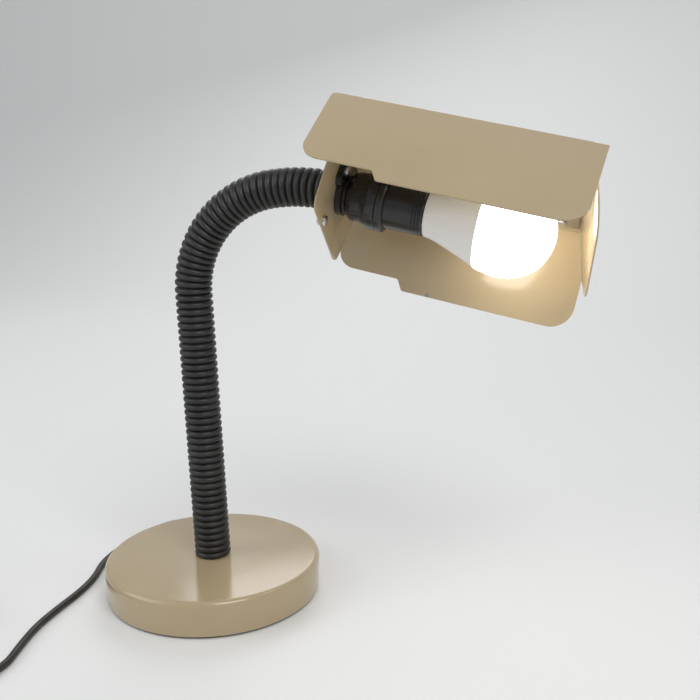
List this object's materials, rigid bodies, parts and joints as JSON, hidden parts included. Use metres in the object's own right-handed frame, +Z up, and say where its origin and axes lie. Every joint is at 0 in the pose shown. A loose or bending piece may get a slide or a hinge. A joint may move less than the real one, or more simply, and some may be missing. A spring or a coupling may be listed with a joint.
{
  "type": "desk lamp",
  "caption": "Desk lamp with a weighted round base, a ribbed flexible neck and a folded sheet shade open at the corners over a screw-in bulb; cord with rocker switch and two-pin plug.",
  "frame": {"origin": "centre of the face the base rests on", "axes": "+Z up; +X from the neck foot toward the head, the neck lies in the XZ plane; -Y is the side the picture was taken from"},
  "size_m": [0.5081, 0.2873, 0.3534],
  "materials": {
    "shade_paint": "satin beige enamel",
    "cast": "rough casting",
    "steel": "zinc plated",
    "felt": "matt",
    "neck_black": "satin",
    "holder_black": "moulded, low gloss",
    "brass": "plain",
    "ceramic": "unglazed ceramic",
    "shield": "rolled sheet",
    "bulb_white": "moulded",
    "bulb_diffuser": "frosted",
    "nickel": "nickel plated",
    "cord_brown": "matt",
    "plug_black": "satin"
  },
  "bodies": {
    "base": {"base_shell": "shade_paint", "base_weight": "cast", "base_plate": "steel", "base_pad": "felt", "base_screws": "steel", "neck_foot": "steel", "neck_washer": "steel", "neck_nut": "brass", "cord_gland": "cord_brown", "cord_lead": "cord_brown", "cord_coil": "cord_brown", "cord_tie": "cord_brown", "switch_lower": "plug_black", "switch_upper": "plug_black", "plug_body": "plug_black", "plug_pins": "brass"},
    "neck_1": {"neck_link_1": "steel", "neck_sleeve_1": "neck_black"},
    "neck_2": {"neck_link_2": "steel", "neck_sleeve_2": "neck_black"},
    "neck_3": {"neck_link_3": "steel", "neck_sleeve_3": "neck_black"},
    "neck_4": {"neck_link_4": "steel", "neck_sleeve_4": "neck_black"},
    "neck_5": {"neck_link_5": "steel", "neck_sleeve_5": "neck_black"},
    "neck_6": {"neck_link_6": "steel", "neck_sleeve_6": "neck_black"},
    "neck_7": {"neck_link_7": "steel", "neck_sleeve_7": "neck_black", "neck_collar": "neck_black", "swivel_washer": "steel", "swivel_nut": "brass"},
    "head": {"shade_shell": "shade_paint", "heat_shield": "shield", "shield_rivets": "shield", "holder_plate": "holder_black", "holder_screws": "steel", "earth_screw": "nickel", "earth_nut": "nickel", "socket_cap": "holder_black", "socket_ring": "holder_black", "socket_sleeve": "holder_black", "screw_shell": "brass", "contact_block": "ceramic", "centre_contact": "brass", "bulb_cap": "nickel", "bulb_housing": "bulb_white", "bulb_dome": "bulb_diffuser", "bulb_board": "shield"},
    "rocker": {"switch_rocker": "plug_black"}
  },
  "joints": [
    {"name": "neck_lean", "type": "hinge", "parent": "base", "child": "neck_1", "pos_m": [-0.00051, 0, 0.05137], "axis": [0, 1, 0], "range_deg": [-18, 10], "deforming": ["neck_sleeve_1"]},
    {"name": "neck_sway", "type": "hinge", "parent": "neck_1", "child": "neck_2", "pos_m": [-0.00153, 0, 0.10011], "axis": [1, 0, 0], "range_deg": [-12, 12], "deforming": ["neck_sleeve_2"]},
    {"name": "neck_lean_upper", "type": "hinge", "parent": "neck_2", "child": "neck_3", "pos_m": [-0.00255, 0, 0.14885], "axis": [0, 1, 0], "range_deg": [-18, 10], "deforming": ["neck_sleeve_3"]},
    {"name": "neck_sway_upper", "type": "hinge", "parent": "neck_3", "child": "neck_4", "pos_m": [-0.00357, 0, 0.1976], "axis": [1, 0, 0], "range_deg": [-12, 12], "deforming": ["neck_sleeve_4"]},
    {"name": "neck_bend", "type": "hinge", "parent": "neck_4", "child": "neck_5", "pos_m": [-0.00026, 0, 0.24592], "axis": [0, 1, 0], "range_deg": [-20, 10], "deforming": ["neck_sleeve_5"]},
    {"name": "neck_bend_middle", "type": "hinge", "parent": "neck_5", "child": "neck_6", "pos_m": [0.02943, 0, 0.2834], "axis": [0, 1, 0], "range_deg": [-20, 10], "deforming": ["neck_sleeve_6"]},
    {"name": "neck_bend_end", "type": "hinge", "parent": "neck_6", "child": "neck_7", "pos_m": [0.07609, 0, 0.29485], "axis": [0, 1, 0], "range_deg": [-20, 10], "deforming": ["neck_sleeve_7"]},
    {"name": "head_swivel", "type": "hinge", "parent": "neck_7", "child": "head", "pos_m": [0.09771, 0, 0.29246], "axis": [0.9791, 0, -0.2033], "range_deg": [-55, 125]},
    {"name": "switch_rock", "type": "hinge", "parent": "base", "child": "rocker", "pos_m": [-0.147, -0.1753, 0.012], "axis": [0, 1, 0], "range_deg": [-18, 0]}
  ],
  "couplings": [
    {"joint": "neck_lean_upper", "follows": "neck_lean", "ratio": 1},
    {"joint": "neck_sway_upper", "follows": "neck_sway", "ratio": 1},
    {"joint": "neck_bend_middle", "follows": "neck_bend", "ratio": 1},
    {"joint": "neck_bend_end", "follows": "neck_bend", "ratio": 1}
  ]
}
